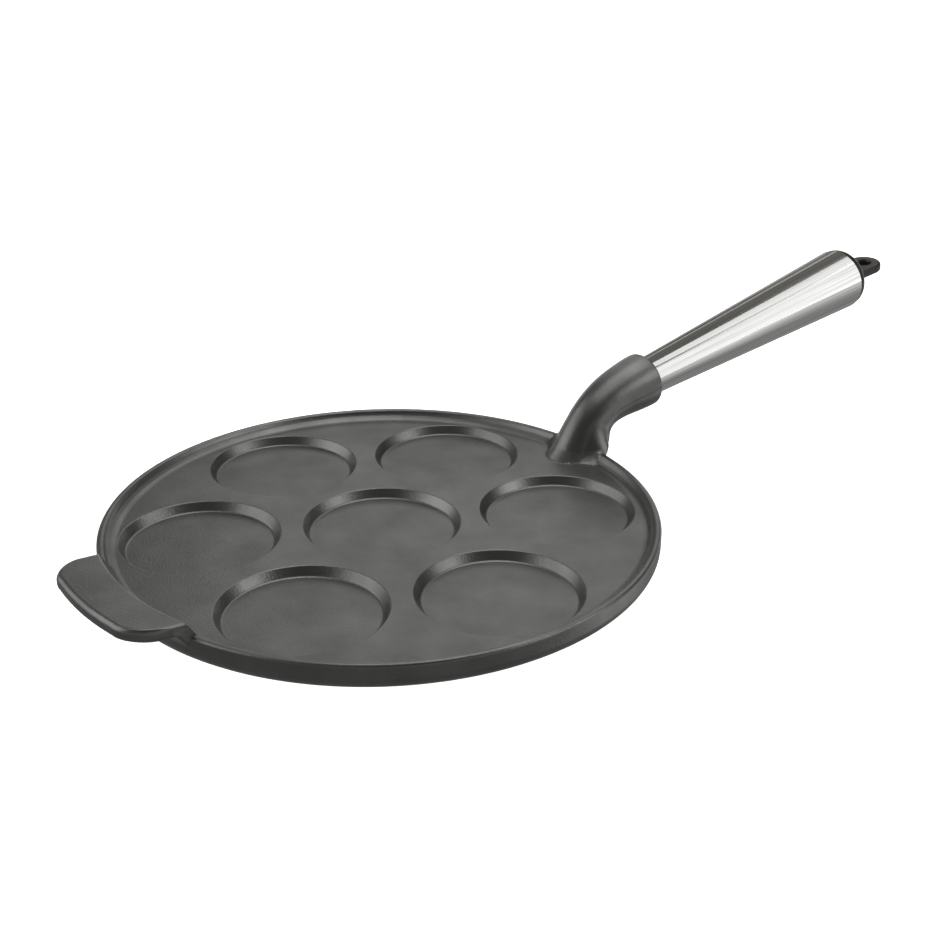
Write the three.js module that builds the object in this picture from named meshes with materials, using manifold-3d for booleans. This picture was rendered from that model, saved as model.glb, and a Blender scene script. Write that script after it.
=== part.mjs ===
// A cast iron blini pan. One casting holds the round plate with its wells, the rim, the helper tab and the
// upswept neck. A hollow steel sleeve is clamped to the neck by a rod and an end cap with a hanging eye.
// Millimetres and degrees. +X runs along the handle, +Z is up, and the origin is the underside's middle.
import * as THREE from 'three';
import { mergeVertices } from 'three/addons/utils/BufferGeometryUtils.js';
import Module from 'manifold-3d';

const wasm = await Module();
wasm.setup();

// Fits between pieces
const SEAT_GAP = 0.3;
const CUT_OVERRUN = 2;

// Wells
const WELLS_AROUND = 6;
const WELL_RADIUS = 32.7;
const WELL_DEPTH = 3.8;
const WELL_WALL_RUN = 2.6;
const WELL_LIP_ROUND = 1.4;
const WELL_LIP_RUN = 0.8;
const WELL_LIP_LIFT = 0.05;
const WELL_FLOOR_ROUND = 1.8;
const WELL_WEB = 9;

// Plate and rim
const FLOOR_THICKNESS = 3.3;
const PLATE_BORDER = 1.8;
const RIM_RUN = 6.1;
const RIM_RISE = 3.9;
const RIM_CREST_WIDTH = 2.6;
const RIM_CREST_ROUND = 1.2;
const RIM_FOOT_ROUND = 2.5;
const BASE_EDGE_ROUND = 5;

// Helper tab
const TAB_REACH = 18.8;
const TAB_HALF_WIDTH = 33.8;
const TAB_RISE = 5.8;
const TAB_TILT = 5.7;
const TAB_THICKNESS = 5.2;
const TAB_CORNER_WIDTH = 14;
const TAB_SIDE = 5.4;
const TAB_EDGE_ROUND = 1.6;
const TAB_END_INSET = 0.8;
const TAB_ROOT_ROUND = 4;
const TAB_INNER_RUN = 8;

// Neck
const NECK_OVERHANG = 39.2;
const NECK_FOOT_OVERHANG = 3.4;
const NECK_BEND_START = 5;
const NECK_BEND_END = 13;
const NECK_BEND_PULL = 13;
const NECK_BEND_SHARE = 0.76;
const STEM_DEPTH = 10.6;
const STEM_RIDGE = 8.6;
const STEM_WIDTH = 9.8;
const FOOT_BASE = 1.5;
const FOOT_SINK = 2.5;
const FLARE_IN = 14.4;
const FLARE_IN_HEIGHT = 20;
const FLARE_IN_POWER = 1.6;
const FOOT_SPREAD = 3;
const FOOT_SPREAD_HEIGHT = 12;
const WEB_SPREAD = 7;
const WEB_HEIGHT = 14;
const WEB_POWER = 1.5;
const WEB_MIDDLE = -0.1;
const WEB_RUN = 0.45;
const WEB_INSET = 0.4;
const WEB_FREE_HEIGHT = 6;

// Handle
const HANDLE_HEIGHT = 32.5;
const HANDLE_SLOPE = 7.8;
const SOCKET_RADIUS = 12.8;
const SOCKET_MOUTH_ROUND = 1.4;
const SLEEVE_LENGTH = 146.5;
const SLEEVE_MOUTH_RADIUS = 9.1;
const SLEEVE_END_RADIUS = 15.7;
const SLEEVE_WALL = 1.2;
const SLEEVE_SEAT = 6;
const SLEEVE_EDGE_ROUND = 0.4;

// Rod, end cap and eye
const ROD_RADIUS = 4;
const ROD_CHAMFER = 0.8;
const ROD_GRIP = 15;
const CAP_SPIGOT = 10;
const CAP_EDGE_INSET = 0.4;
const CAP_EDGE_HEIGHT = 1.2;
const CAP_DOME = 7.3;
const CAP_THREAD_DEPTH = 13;
const EYE_RADIUS = 9;
const EYE_HOLE_RADIUS = 3.6;
const EYE_DISTANCE = 22.2;
const EYE_THICKNESS = 4.2;
const EYE_EDGE_ROUND = 1;
const EYE_ROOT_HALF_WIDTH = 7.4;
const EYE_ROOT_SINK = 3;

// Meshing
const CORNER_SHARE = 0.48;
const MERGE_DISTANCE = 1e-4;
const PLATE_FACETS = 80;
const WELL_FACETS = 36;
const HANDLE_FACETS = 40;
const ROD_FACETS = 24;
const NECK_FACETS = 28;
const EYE_FACETS = 28;
const FOOT_STEPS = 7;
const BEND_STEPS = 9;
const DOME_STEPS = 6;
const TAB_CORNER_STEPS = 6;
const ARC_STEPS = 3;
const WELL_ARC_STEPS = 2;
const EYE_BEVEL_STEPS = 2;
const CHAMFER_STEPS = 1;

// Sizes that follow from the wells, the rim and the handle
const wellPitch = 2 * WELL_RADIUS + WELL_WEB;
const plateRadius = wellPitch + WELL_RADIUS + PLATE_BORDER;
const rimRadius = plateRadius + RIM_RUN;
const plateTop = FLOOR_THICKNESS + WELL_DEPTH;
const rimTop = plateTop + RIM_RISE;
const slope = THREE.MathUtils.degToRad(HANDLE_SLOPE);
const sleeveTaper = (SLEEVE_END_RADIUS - SLEEVE_MOUTH_RADIUS) / SLEEVE_LENGTH;

const point = (x, y) => new THREE.Vector2(x, y);

// A run of corners, each [x, y, radius], as points with every corner rounded. A radius is cut down where
// its two sides are too short for it. An open run keeps its first and last corner sharp.
function rounded(corners, { closed = true, steps = ARC_STEPS } = {}) {
  const points = [];
  corners.forEach(([x, y, radius], index) => {
    const corner = point(x, y);
    const isEnd = index === 0 || index === corners.length - 1;
    if (!radius || (isEnd && !closed)) {
      points.push(corner);
      return;
    }
    const before = corners[(index + corners.length - 1) % corners.length];
    const after = corners[(index + 1) % corners.length];
    const toBefore = point(before[0] - x, before[1] - y);
    const toAfter = point(after[0] - x, after[1] - y);
    const shareOf = (other) => (other[2] ? CORNER_SHARE : 1);
    const room = Math.min(shareOf(before) * toBefore.length(), shareOf(after) * toAfter.length());
    toBefore.normalize();
    toAfter.normalize();
    const half = Math.acos(THREE.MathUtils.clamp(toBefore.dot(toAfter), -1, 1)) / 2;
    const tangent = Math.min(radius / Math.tan(half), room);
    const toCentre = toBefore.clone().add(toAfter).normalize();
    const centre = corner.clone().addScaledVector(toCentre, tangent / Math.cos(half));
    const start = corner.clone().addScaledVector(toBefore, tangent).sub(centre);
    const end = corner.clone().addScaledVector(toAfter, tangent).sub(centre);
    const turn = Math.atan2(start.cross(end), start.dot(end));
    for (let step = 0; step <= steps; step += 1) {
      points.push(start.clone().rotateAround(point(0, 0), (turn * step) / steps).add(centre));
    }
  });
  return points;
}

// A turned solid about Z from points [radius, height] that run up its outside
function turned(points, facets) {
  const geometry = new THREE.LatheGeometry(points, facets);
  geometry.rotateX(Math.PI / 2);
  return geometry;
}

// A skin over rings of points that all have the same count, with a fan of faces over each end
function lofted(rings) {
  const count = rings[0].length;
  const middle = (ring) => ring.reduce((sum, p) => sum.add(p), new THREE.Vector3()).divideScalar(count);
  const vertices = [...rings.flat(), middle(rings[0]), middle(rings.at(-1))];
  const firstMiddle = rings.length * count;
  const lastRing = (rings.length - 1) * count;
  const indices = [];
  for (let i = 0; i < count; i += 1) {
    const next = (i + 1) % count;
    for (let base = 0; base < lastRing; base += count) {
      indices.push(base + i, base + next, base + count + next);
      indices.push(base + i, base + count + next, base + count + i);
    }
    indices.push(firstMiddle, next, i);
    indices.push(firstMiddle + 1, lastRing + i, lastRing + next);
  }
  const geometry = new THREE.BufferGeometry().setFromPoints(vertices);
  geometry.setIndex(indices);
  return geometry;
}

function toSolid(geometry) {
  const bare = geometry.clone();
  bare.deleteAttribute('normal');
  bare.deleteAttribute('uv');
  const merged = mergeVertices(bare, MERGE_DISTANCE);
  const corners = merged.index.array;
  const triVerts = [];
  for (let i = 0; i < corners.length; i += 3) {
    const [a, b, c] = corners.slice(i, i + 3);
    if (a !== b && b !== c && c !== a) triVerts.push(a, b, c);
  }
  const vertProperties = Float32Array.from(merged.attributes.position.array);
  const mesh = new wasm.Mesh({ numProp: 3, vertProperties, triVerts: Uint32Array.from(triVerts) });
  return new wasm.Manifold(mesh);
}

function toGeometry(solid) {
  const mesh = solid.getMesh();
  const geometry = new THREE.BufferGeometry();
  geometry.setAttribute('position', new THREE.BufferAttribute(mesh.vertProperties, 3));
  geometry.setIndex(new THREE.BufferAttribute(mesh.triVerts, 1));
  return geometry;
}

// The plate: flat underside with a rounded edge, upright wall, rounded crest and a sloped inner rim
function plateSolid() {
  const profile = rounded([
    [0, 0],
    [rimRadius, 0, BASE_EDGE_ROUND],
    [rimRadius, rimTop, RIM_CREST_ROUND],
    [rimRadius - RIM_CREST_WIDTH, rimTop, RIM_CREST_ROUND],
    [plateRadius, plateTop, RIM_FOOT_ROUND],
    [0, plateTop],
  ], { closed: false });
  return toSolid(turned(profile, PLATE_FACETS));
}

// The batter's space in one well. Its lip curve ends just above the plate, which stays flat beside it.
function wellCut() {
  const lipHeight = plateTop + WELL_LIP_LIFT;
  const lipRadius = WELL_RADIUS + WELL_LIP_RUN;
  const profile = rounded([
    [0, FLOOR_THICKNESS],
    [WELL_RADIUS - WELL_WALL_RUN, FLOOR_THICKNESS, WELL_FLOOR_ROUND],
    [WELL_RADIUS, lipHeight, WELL_LIP_ROUND],
    [lipRadius, lipHeight],
    [lipRadius, lipHeight + CUT_OVERRUN],
    [0, lipHeight + CUT_OVERRUN],
  ], { closed: false, steps: WELL_ARC_STEPS });
  return turned(profile, WELL_FACETS);
}

function wellCuts() {
  const middle = toSolid(wellCut());
  const around = Array.from({ length: WELLS_AROUND }, (_, index) => {
    const angle = ((index + 0.5) * 2 * Math.PI) / WELLS_AROUND;
    return toSolid(wellCut().translate(wellPitch * Math.cos(angle), wellPitch * Math.sin(angle), 0));
  });
  return around.reduce((cuts, well) => cuts.add(well), middle);
}

const tabCornerStart = TAB_HALF_WIDTH - TAB_CORNER_WIDTH;
const circleAt = (radius, across) => Math.sqrt(radius ** 2 - across ** 2);

// How far the tab's outline reaches from the pan's axis at a distance across it. The edge runs round the
// pan's axis, and an elliptical corner brings it back to a short side next to the rim.
function tabReachAt(across) {
  const edge = circleAt(rimRadius + TAB_REACH, Math.min(across, tabCornerStart));
  const side = circleAt(rimRadius, TAB_HALF_WIDTH) + TAB_SIDE;
  const intoCorner = THREE.MathUtils.clamp((across - tabCornerStart) / TAB_CORNER_WIDTH, 0, 1);
  return side + (edge - side) * circleAt(1, intoCorner);
}

// One slice across the tab: up from the plate over the rim, out along the tilted top, round the edge and
// back under into the wall. Inset draws the slice in at the tab's two ends, which rounds the edges there.
function tabSlice(across, inset) {
  const rimAt = circleAt(rimRadius, across);
  const reach = tabReachAt(Math.abs(across)) - inset;
  const rootAt = Math.min(rimAt + TAB_ROOT_ROUND, (rimAt + reach) / 2);
  const rise = Math.tan(THREE.MathUtils.degToRad(TAB_TILT));
  const topAt = (x) => rimTop + TAB_RISE - inset + rise * (x - rimAt);
  const underAt = (x) => topAt(x) - TAB_THICKNESS + 2 * inset;
  const slice = rounded([
    [rimAt - TAB_INNER_RUN, plateTop - RIM_RISE],
    [rimAt, topAt(rimAt), TAB_EDGE_ROUND],
    [reach, topAt(reach), TAB_EDGE_ROUND],
    [reach, underAt(reach), TAB_EDGE_ROUND],
    [rootAt, underAt(rootAt), TAB_ROOT_ROUND],
    [rimAt - RIM_CREST_WIDTH, plateTop - RIM_RISE],
  ]);
  return slice.map((p) => new THREE.Vector3(-p.x, across, p.y));
}

function tabSolid() {
  const corner = Array.from({ length: TAB_CORNER_STEPS }, (_, index) => {
    const turn = (index / TAB_CORNER_STEPS) * (Math.PI / 2);
    return tabCornerStart + TAB_CORNER_WIDTH * Math.sin(turn);
  });
  const half = [0, tabCornerStart / 2, ...corner].map((across) => ({ across, inset: 0 }));
  half.push({ across: TAB_HALF_WIDTH, inset: TAB_END_INSET });
  const slices = [
    ...half.toReversed(),
    ...half.slice(1).map(({ across, inset }) => ({ across: -across, inset })),
  ];
  return toSolid(lofted(slices.map(({ across, inset }) => tabSlice(across, inset))));
}

// The handle's own frame: its origin is the middle of the socket's mouth and its Z runs out along the handle
const handle = new THREE.Group();
handle.position.set(rimRadius + NECK_OVERHANG, 0, HANDLE_HEIGHT);
handle.rotation.y = Math.PI / 2 - slope;
handle.updateMatrix();
const handleMouth = handle.position.clone();
const handleAxis = new THREE.Vector3(Math.cos(slope), 0, Math.sin(slope));

// The middle line of the neck above its foot: round the bend and straight into the handle's line
const stemFoot = new THREE.Vector3(rimRadius + NECK_FOOT_OVERHANG, 0, plateTop + NECK_BEND_START);
const bendEnd = handleMouth.clone().addScaledVector(handleAxis, -NECK_BEND_END);
const neckBend = new THREE.CubicBezierCurve3(
  stemFoot,
  stemFoot.clone().setZ(stemFoot.z + NECK_BEND_PULL),
  bendEnd.clone().addScaledVector(handleAxis, -NECK_BEND_PULL),
  bendEnd,
);
const neckRun = new THREE.LineCurve3(bendEnd, handleMouth);

// One slice of the neck, square to its line. The part towards the plate's middle, the part away from it and
// the two sides have their own half sizes. Foot widens the part over the plate. Web spreads the slice along
// the rim. At the plate it ends just inside the pan's wall, and higher up it's free.
function neckSlice(centre, along, { inner, outer, side, foot = 0, web = 0 }) {
  const outwards = new THREE.Vector3(along.z, 0, -along.x);
  return Array.from({ length: NECK_FACETS }, (_, index) => {
    const angle = (2 * Math.PI * index) / NECK_FACETS;
    const depth = Math.cos(angle) * (Math.cos(angle) > 0 ? outer : inner);
    const overPlate = foot * THREE.MathUtils.clamp(0.5 - Math.cos(angle), 0, 1);
    const overRim = web * Math.max(0, 1 - ((Math.cos(angle) - WEB_MIDDLE) / WEB_RUN) ** 2);
    const halfWidth = side + FOOT_SPREAD * overPlate + WEB_SPREAD * overRim;
    const place = centre.clone().addScaledVector(outwards, depth);
    place.y = halfWidth * Math.sin(angle);
    const wall = circleAt(rimRadius - WEB_INSET, place.y);
    const free = THREE.MathUtils.smoothstep(place.z, plateTop, plateTop + WEB_FREE_HEIGHT);
    if (Math.abs(place.y) > side) place.x -= Math.max(0, place.x - wall) * (1 - free);
    return place;
  });
}

const roundSlice = (centre, radius) =>
  neckSlice(centre, handleAxis, { inner: radius, outer: radius, side: radius });
const flareLeft = (above, height, power) => THREE.MathUtils.clamp(1 - above / height, 0, 1) ** power;
const flareIn = (above) => FLARE_IN * flareLeft(above, FLARE_IN_HEIGHT, FLARE_IN_POWER);
const footAt = (above) => flareLeft(above, FOOT_SPREAD_HEIGHT, 1);
const webAt = (above) => flareLeft(above, WEB_HEIGHT, WEB_POWER);

// The foot. Its ridge spreads over the plate inside the rim, and its belly tucks back into the wall below.
function footSlice(share) {
  const sunk = rimRadius - FOOT_SINK - STEM_DEPTH;
  const tuck = (stemFoot.x - sunk) * (1 - Math.sin((share * Math.PI) / 2));
  const centre = stemFoot.clone();
  centre.x -= tuck;
  centre.z = THREE.MathUtils.lerp(FOOT_BASE, stemFoot.z, share);
  const above = centre.z - plateTop;
  const inner = STEM_RIDGE + flareIn(above) - tuck;
  const size = { inner, outer: STEM_DEPTH, side: STEM_WIDTH, foot: footAt(above), web: webAt(above) };
  return neckSlice(centre, new THREE.Vector3(0, 0, 1), size);
}

// The half sizes above the foot. Share is 0 where the bend starts and 1 at the socket's mouth.
function neckSize(share, height) {
  const above = height - plateTop;
  const grown = share ** 3 * (4 - 3 * share);
  return {
    inner: THREE.MathUtils.lerp(STEM_RIDGE, SOCKET_RADIUS, grown) + flareIn(above),
    outer: THREE.MathUtils.lerp(STEM_DEPTH, SOCKET_RADIUS, grown),
    side: THREE.MathUtils.lerp(STEM_WIDTH, SOCKET_RADIUS, grown),
    foot: footAt(above),
    web: webAt(above),
  };
}

function neckSolid() {
  const rings = [];
  for (let step = 0; step < FOOT_STEPS; step += 1) rings.push(footSlice(step / FOOT_STEPS));
  for (let step = 0; step <= BEND_STEPS; step += 1) {
    const share = step / BEND_STEPS;
    const centre = neckBend.getPoint(share);
    rings.push(neckSlice(centre, neckBend.getTangent(share), neckSize(share * NECK_BEND_SHARE, centre.z)));
  }
  const mouthStart = 1 - SOCKET_MOUTH_ROUND / NECK_BEND_END;
  for (let step = 1; step <= ARC_STEPS; step += 1) {
    const share = step / ARC_STEPS;
    const centre = neckRun.getPoint(share * mouthStart);
    const size = neckSize(THREE.MathUtils.lerp(NECK_BEND_SHARE, 1, share), centre.z);
    rings.push(neckSlice(centre, handleAxis, size));
  }
  for (let step = 1; step <= ARC_STEPS; step += 1) {
    const turn = (step / ARC_STEPS) * (Math.PI / 2);
    const radius = SOCKET_RADIUS - SOCKET_MOUTH_ROUND * (1 - Math.cos(turn));
    const back = SOCKET_MOUTH_ROUND * (1 - Math.sin(turn));
    rings.push(roundSlice(handleMouth.clone().addScaledVector(handleAxis, -back), radius));
  }
  return toSolid(lofted(rings));
}

const sleeveRadiusAt = (along) => SLEEVE_MOUTH_RADIUS + sleeveTaper * along;
const socketDepth = SLEEVE_SEAT + SEAT_GAP;
const rodHoleDepth = socketDepth + ROD_GRIP;

// The socket in the neck: a counterbore for the sleeve and a deeper hole for the rod
function socketCut() {
  const profile = [
    point(0, -rodHoleDepth),
    point(ROD_RADIUS + SEAT_GAP, -rodHoleDepth),
    point(ROD_RADIUS + SEAT_GAP, -socketDepth),
    point(SLEEVE_MOUTH_RADIUS + SEAT_GAP, -socketDepth),
    point(SLEEVE_MOUTH_RADIUS + SEAT_GAP, CUT_OVERRUN),
    point(0, CUT_OVERRUN),
  ];
  return toSolid(turned(profile, HANDLE_FACETS).applyMatrix4(handle.matrix));
}

function castingGeometry() {
  const casting = plateSolid().add(tabSolid()).add(neckSolid());
  return toGeometry(casting.subtract(wellCuts()).subtract(socketCut()));
}

function sleeveGeometry() {
  const foot = -SLEEVE_SEAT;
  const outline = rounded([
    [sleeveRadiusAt(foot) - SLEEVE_WALL, foot, SLEEVE_EDGE_ROUND],
    [sleeveRadiusAt(foot), foot, SLEEVE_EDGE_ROUND],
    [SLEEVE_END_RADIUS, SLEEVE_LENGTH, SLEEVE_EDGE_ROUND],
    [SLEEVE_END_RADIUS - SLEEVE_WALL, SLEEVE_LENGTH, SLEEVE_EDGE_ROUND],
  ], { steps: CHAMFER_STEPS });
  return turned([...outline, outline[0].clone()], HANDLE_FACETS);
}

const capSeat = SLEEVE_LENGTH + SEAT_GAP;
const capThreadEnd = capSeat - CAP_SPIGOT + CAP_THREAD_DEPTH;

function rodGeometry() {
  const profile = rounded([
    [0, SEAT_GAP - rodHoleDepth],
    [ROD_RADIUS, SEAT_GAP - rodHoleDepth, ROD_CHAMFER],
    [ROD_RADIUS, capThreadEnd - SEAT_GAP, ROD_CHAMFER],
    [0, capThreadEnd - SEAT_GAP],
  ], { closed: false, steps: CHAMFER_STEPS });
  return turned(profile, ROD_FACETS);
}

// The cap: a blind hole for the rod, a spigot that follows the sleeve's taper, a low edge and a dome
function capSolid() {
  const spigotFoot = capSeat - CAP_SPIGOT;
  const spigotRadiusAt = (along) => sleeveRadiusAt(along) - SLEEVE_WALL - SEAT_GAP;
  const edgeRadius = SLEEVE_END_RADIUS - CAP_EDGE_INSET;
  const domeStart = capSeat + CAP_EDGE_HEIGHT;
  const dome = Array.from({ length: DOME_STEPS }, (_, index) => {
    const turn = (index / DOME_STEPS) * (Math.PI / 2);
    return point(edgeRadius * Math.cos(turn), domeStart + CAP_DOME * Math.sin(turn));
  });
  const profile = [
    point(0, capThreadEnd),
    point(ROD_RADIUS + SEAT_GAP, capThreadEnd),
    point(ROD_RADIUS + SEAT_GAP, spigotFoot),
    point(spigotRadiusAt(spigotFoot), spigotFoot),
    point(spigotRadiusAt(SLEEVE_LENGTH), capSeat),
    point(edgeRadius, capSeat),
    ...dome,
    point(0, domeStart + CAP_DOME),
  ];
  return toSolid(turned(profile, HANDLE_FACETS));
}

// The flat hanging eye: a round end with a hole, on a tongue that grows out of the dome
function eyeSolid() {
  const root = capSeat + CAP_EDGE_HEIGHT + EYE_ROOT_SINK;
  const centre = SLEEVE_LENGTH + EYE_DISTANCE;
  const flat = EYE_RADIUS - EYE_EDGE_ROUND;
  const rootHalf = EYE_ROOT_HALF_WIDTH - EYE_EDGE_ROUND;
  const lean = Math.asin(THREE.MathUtils.clamp((flat - rootHalf) / (centre - root), -1, 1));
  const outline = new THREE.Shape();
  outline.moveTo(-rootHalf, root);
  outline.lineTo(rootHalf, root);
  outline.absarc(0, centre, flat, -lean, Math.PI + lean, false);
  outline.closePath();
  const hole = new THREE.Path();
  hole.absarc(0, centre, EYE_HOLE_RADIUS + EYE_EDGE_ROUND, 0, 2 * Math.PI, true);
  outline.holes.push(hole);
  const blank = new THREE.ExtrudeGeometry(outline, {
    depth: EYE_THICKNESS - 2 * EYE_EDGE_ROUND,
    bevelThickness: EYE_EDGE_ROUND,
    bevelSize: EYE_EDGE_ROUND,
    bevelSegments: EYE_BEVEL_STEPS,
    curveSegments: EYE_FACETS / 2,
  });
  blank.translate(0, 0, EYE_EDGE_ROUND - EYE_THICKNESS / 2);
  const across = new THREE.Vector3(0, 1, 0);
  const along = new THREE.Vector3(0, 0, 1);
  const upwards = new THREE.Vector3(1, 0, 0);
  return toSolid(blank.applyMatrix4(new THREE.Matrix4().makeBasis(across, along, upwards)));
}

const castIron = { color: 0x3f4142, roughness: 0.55, metalness: 0.6 };
const polishedSteel = { color: 0xc9c6c0, roughness: 0.2, metalness: 1 };
const zincedSteel = { color: 0x9a9b9c, roughness: 0.4, metalness: 1 };
const blackIron = { color: 0x2c2d2e, roughness: 0.5, metalness: 0.6 };

function piece(name, geometry, finish) {
  const mesh = new THREE.Mesh(geometry, new THREE.MeshStandardMaterial(finish));
  mesh.name = name;
  return mesh;
}

handle.add(piece('handle_sleeve', sleeveGeometry(), polishedSteel));
handle.add(piece('tie_rod', rodGeometry(), zincedSteel));
handle.add(piece('end_cap_eye', toGeometry(capSolid().add(eyeSolid())), blackIron));

const pan = new THREE.Group();
pan.add(piece('pan_casting', castingGeometry(), castIron));
pan.add(handle);

export default pan;
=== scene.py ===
# %% [markdown]
# # A blini pan in cast iron with a steel handle
#
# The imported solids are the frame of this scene. They already have the pan's sizes, but they are made of
# flat facets. Each cell below builds one piece again with fine curves, in the same place, and gives it a
# finish. All sizes are written in millimetres and turned into metres where a mesh is made.

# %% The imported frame
from math import cos, pi, radians, sin, sqrt, tan

import bmesh
import bpy
from mathutils import Matrix, Vector, kdtree


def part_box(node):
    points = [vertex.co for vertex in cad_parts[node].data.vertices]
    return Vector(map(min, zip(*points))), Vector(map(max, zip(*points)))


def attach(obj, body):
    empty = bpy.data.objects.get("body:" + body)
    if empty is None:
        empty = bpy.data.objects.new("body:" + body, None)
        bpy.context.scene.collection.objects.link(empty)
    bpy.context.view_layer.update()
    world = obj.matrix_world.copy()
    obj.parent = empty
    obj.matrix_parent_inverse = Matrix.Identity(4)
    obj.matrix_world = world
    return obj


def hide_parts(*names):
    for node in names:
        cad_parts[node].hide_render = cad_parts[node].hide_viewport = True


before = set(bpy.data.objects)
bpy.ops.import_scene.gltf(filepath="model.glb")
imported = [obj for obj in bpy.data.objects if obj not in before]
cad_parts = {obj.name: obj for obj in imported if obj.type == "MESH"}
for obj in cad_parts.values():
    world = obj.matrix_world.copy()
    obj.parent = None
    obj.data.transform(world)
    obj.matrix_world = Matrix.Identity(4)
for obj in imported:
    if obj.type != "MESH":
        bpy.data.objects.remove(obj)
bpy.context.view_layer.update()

MM = 0.001

# %% [markdown]
# ## Camera
#
# The pan stands on its base and is seen from in front of the helper tab, a little from the left and from
# above. The place and the turn come from fitting the solids' rim, wells and handle to the photograph,
# with an image 940 pixels wide and high.

# %% Camera
camera_data = bpy.data.cameras.new("photo_camera")
camera_data.sensor_width = 36
camera_data.lens = 53.62
camera = bpy.data.objects.new("photo_camera", camera_data)
camera.location = (-0.3046, -0.4206, 0.2708)
camera.rotation_euler = (radians(65.15), 0, radians(-39.94))
bpy.context.scene.collection.objects.link(camera)
bpy.context.scene.camera = camera
print("camera", round(camera.location.length, 3), "m from the pan's middle")

# %% [markdown]
# ## Iron plate
#
# The plate is a flat disc with a rounded foot, an upright wall and a raised rim. The rim drops steeply on
# its inner side and then runs out in a hollow curve, which shows as a dark line with a light band beside
# it. A pattern maker would turn all this on a lathe, so the outline is drawn once as a chain of straight
# runs. A bevel on the chain's corners makes the roundings, and a spin about the pan's axis makes the
# disc. Rings close together near the rim leave fine faces there for the cast fillets that follow.

# %% Iron plate
RIM_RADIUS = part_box("pan_casting")[1].y / MM
RIM_TOP = 11
RIM_CREST = 2.6
RIM_STEP = 3.4
RIM_STEP_LEVEL = 9.2
PLATE_RADIUS = 108.9
PLATE_TOP = 7.1
BASE_ROUND = 5
CREST_OUTER_ROUND, CREST_INNER_ROUND = 1.2, 1.3
RIM_HOLLOW_ROUND = 4
FINE_RINGS_FROM = 88
FINE_RINGS = 14
LONG_RUN = 2
SAME_PLACE = 1e-7  # in metres


def rounded_chain(bm, corners, segments):
    """Draw straight runs through (x, z, radius) corners and round each corner that has a radius."""
    points = [Vector((x * MM, 0, z * MM)) for x, z, _ in corners]
    verts = [bm.verts.new(point) for point in points]
    for pair in zip(verts, verts[1:]):
        bm.edges.new(pair)
    for index, (_, _, radius) in enumerate(corners):
        if radius:
            opening = (points[index - 1] - points[index]).angle(points[index + 1] - points[index])
            bmesh.ops.bevel(
                bm, geom=[verts[index]], offset=radius * MM / tan(opening / 2), affect="VERTICES",
                segments=segments, profile=0.5, material=-1)


def spun(bm, steps):
    """Turn the drawn chain once about the Z axis into a closed solid."""
    bmesh.ops.spin(
        bm, geom=bm.verts[:] + bm.edges[:], cent=(0, 0, 0), axis=(0, 0, 1), angle=2 * pi, steps=steps,
        use_merge=True, use_duplicate=False)
    bmesh.ops.remove_doubles(bm, verts=bm.verts, dist=SAME_PLACE)
    bmesh.ops.recalc_face_normals(bm, faces=bm.faces)


plate = bmesh.new()
rounded_chain(plate, [
    (0, 0, 0), (RIM_RADIUS, 0, BASE_ROUND), (RIM_RADIUS, RIM_TOP, CREST_OUTER_ROUND),
    (RIM_RADIUS - RIM_CREST, RIM_TOP, CREST_INNER_ROUND),
    (RIM_RADIUS - RIM_STEP, RIM_STEP_LEVEL, RIM_HOLLOW_ROUND), (PLATE_RADIUS, PLATE_TOP, RIM_HOLLOW_ROUND),
    (FINE_RINGS_FROM, PLATE_TOP, 0), (0, PLATE_TOP, 0)], segments=8)
near_rim = (FINE_RINGS_FROM - LONG_RUN) * MM
long_runs = [
    edge for edge in plate.edges
    if edge.calc_length() > LONG_RUN * MM and min(vert.co.x for vert in edge.verts) > near_rim]
bmesh.ops.subdivide_edges(plate, edges=long_runs, cuts=FINE_RINGS)
spun(plate, steps=360)
print("plate", len(plate.faces), "faces, rim radius", round(RIM_RADIUS, 1))

# %% [markdown]
# ## Wells
#
# Seven shallow wells shape the batter: one in the middle and six around it, on the half steps so that the
# handle lies between two of them. The wall leans outwards so that a blini slides out, and both its edges
# are rounded. One turned cutter is copied to the seven places and taken away from the plate in one cut.

# %% Wells
WELL_RADIUS = 32.7
WELL_LEAN = 2.6
WELL_FLOOR = 3.3
WELL_PITCH = 74.4
WELL_TURN = 60
WELL_FOOT_ROUND, WELL_EDGE_ROUND = 1.3, 0.8
CUTTER_LIFT = 0.02
CUTTER_BORDER, CUTTER_TOP = 1, 2


def combined(base, tool, operation):
    """Join or cut two closed meshes with a Boolean and give back the result as a new mesh."""
    pair = []
    for mesh in (base, tool):
        data = bpy.data.meshes.new("tool")
        mesh.to_mesh(data)
        mesh.free()
        pair.append(bpy.data.objects.new("tool", data))
        bpy.context.scene.collection.objects.link(pair[-1])
    boolean = pair[0].modifiers.new("boolean", "BOOLEAN")
    boolean.operation = operation
    boolean.object = pair[1]
    boolean.solver = "MANIFOLD"
    result = bmesh.new()
    result.from_object(pair[0], bpy.context.evaluated_depsgraph_get())
    for tool_object in pair:
        data = tool_object.data
        bpy.data.objects.remove(tool_object)
        bpy.data.meshes.remove(data)
    return result


def verts_of(geom):
    return [element for element in geom if isinstance(element, bmesh.types.BMVert)]


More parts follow.
